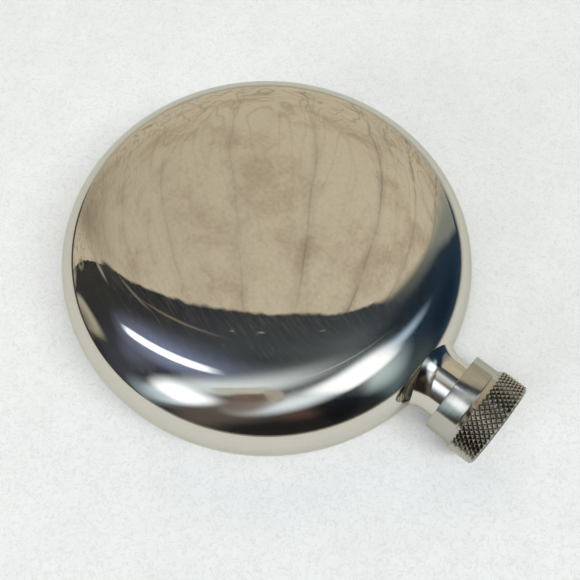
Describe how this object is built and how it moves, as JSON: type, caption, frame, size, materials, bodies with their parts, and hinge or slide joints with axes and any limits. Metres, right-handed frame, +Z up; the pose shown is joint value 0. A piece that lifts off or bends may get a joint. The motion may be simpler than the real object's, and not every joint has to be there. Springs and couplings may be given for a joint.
{
  "type": "pocket flask",
  "caption": "Round domed steel pocket flask with a short flared neck and a knurled screw cap that unscrews to open it.",
  "frame": {"origin": "middle of the flat land on the back face, on the surface that the flask lies on", "axes": "+X runs along the neck towards the cap, +Z points up out of the front face, +Y completes the right-handed frame"},
  "size_m": [0.1121, 0.095, 0.0251],
  "materials": {
    "polished_steel": "mirror polished stainless steel with faint hairlines",
    "satin_steel": "fine turned and knurled stainless steel",
    "liner_plastic": "moulded food-safe plastic",
    "seal_silicone": "soft matt silicone"
  },
  "bodies": {
    "flask": {"front_shell": "polished_steel", "back_shell": "polished_steel", "neck": "polished_steel"},
    "seal": {"cap_seal": "seal_silicone"},
    "cap": {"cap_shell": "satin_steel", "cap_insert": "liner_plastic"}
  },
  "joints": [
    {"name": "cap_rise", "type": "slide", "parent": "flask", "child": "seal", "axis": [1, 0, 0], "range_m": [0, 0.0141]},
    {"name": "cap_turn", "type": "hinge", "parent": "seal", "child": "cap", "pos_m": [0.0522, 0, 0.01243], "axis": [1, 0, 0], "range_deg": [0, 2520]}
  ],
  "couplings": [
    {"joint": "cap_rise", "follows": "cap_turn", "m_per_rad": 0.00031831}
  ]
}
